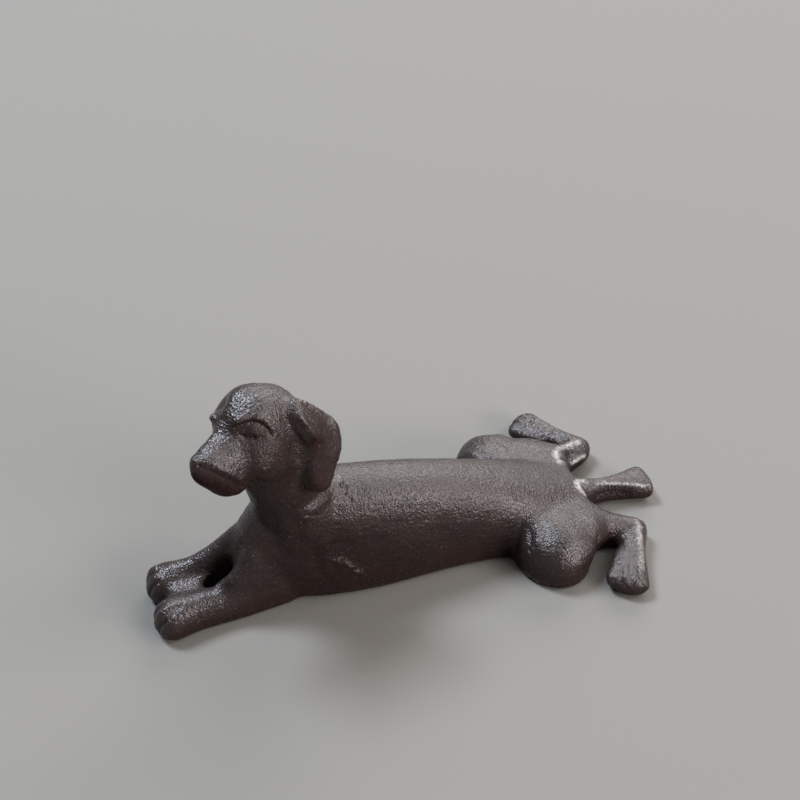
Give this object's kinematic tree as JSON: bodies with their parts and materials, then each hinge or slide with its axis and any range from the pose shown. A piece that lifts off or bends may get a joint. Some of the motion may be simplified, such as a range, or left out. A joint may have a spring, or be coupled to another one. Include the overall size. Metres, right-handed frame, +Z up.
{
  "type": "cast iron doorstop",
  "caption": "Sand-cast iron doorstop in the shape of a lying dog with outstretched forelegs, splayed hind legs and a raised head turned to its left, on felt floor pads.",
  "frame": {"origin": "on the floor, at the centre of the bottom of the part's bounding box", "axes": "+X from nose to tail, +Y to the dog's right side, +Z up from the floor"},
  "size_m": [0.2294, 0.116, 0.108],
  "materials": {
    "cast_iron": "blackened and waxed sand-cast surface, satin, paler brown-grey on worn high edges",
    "pad_felt": "dense black felt, matt"
  },
  "bodies": {
    "root": {"dog_casting": "cast_iron", "front_pad_left": "pad_felt", "front_pad_right": "pad_felt", "rear_pad_left": "pad_felt", "rear_pad_right": "pad_felt"}
  },
  "joints": []
}
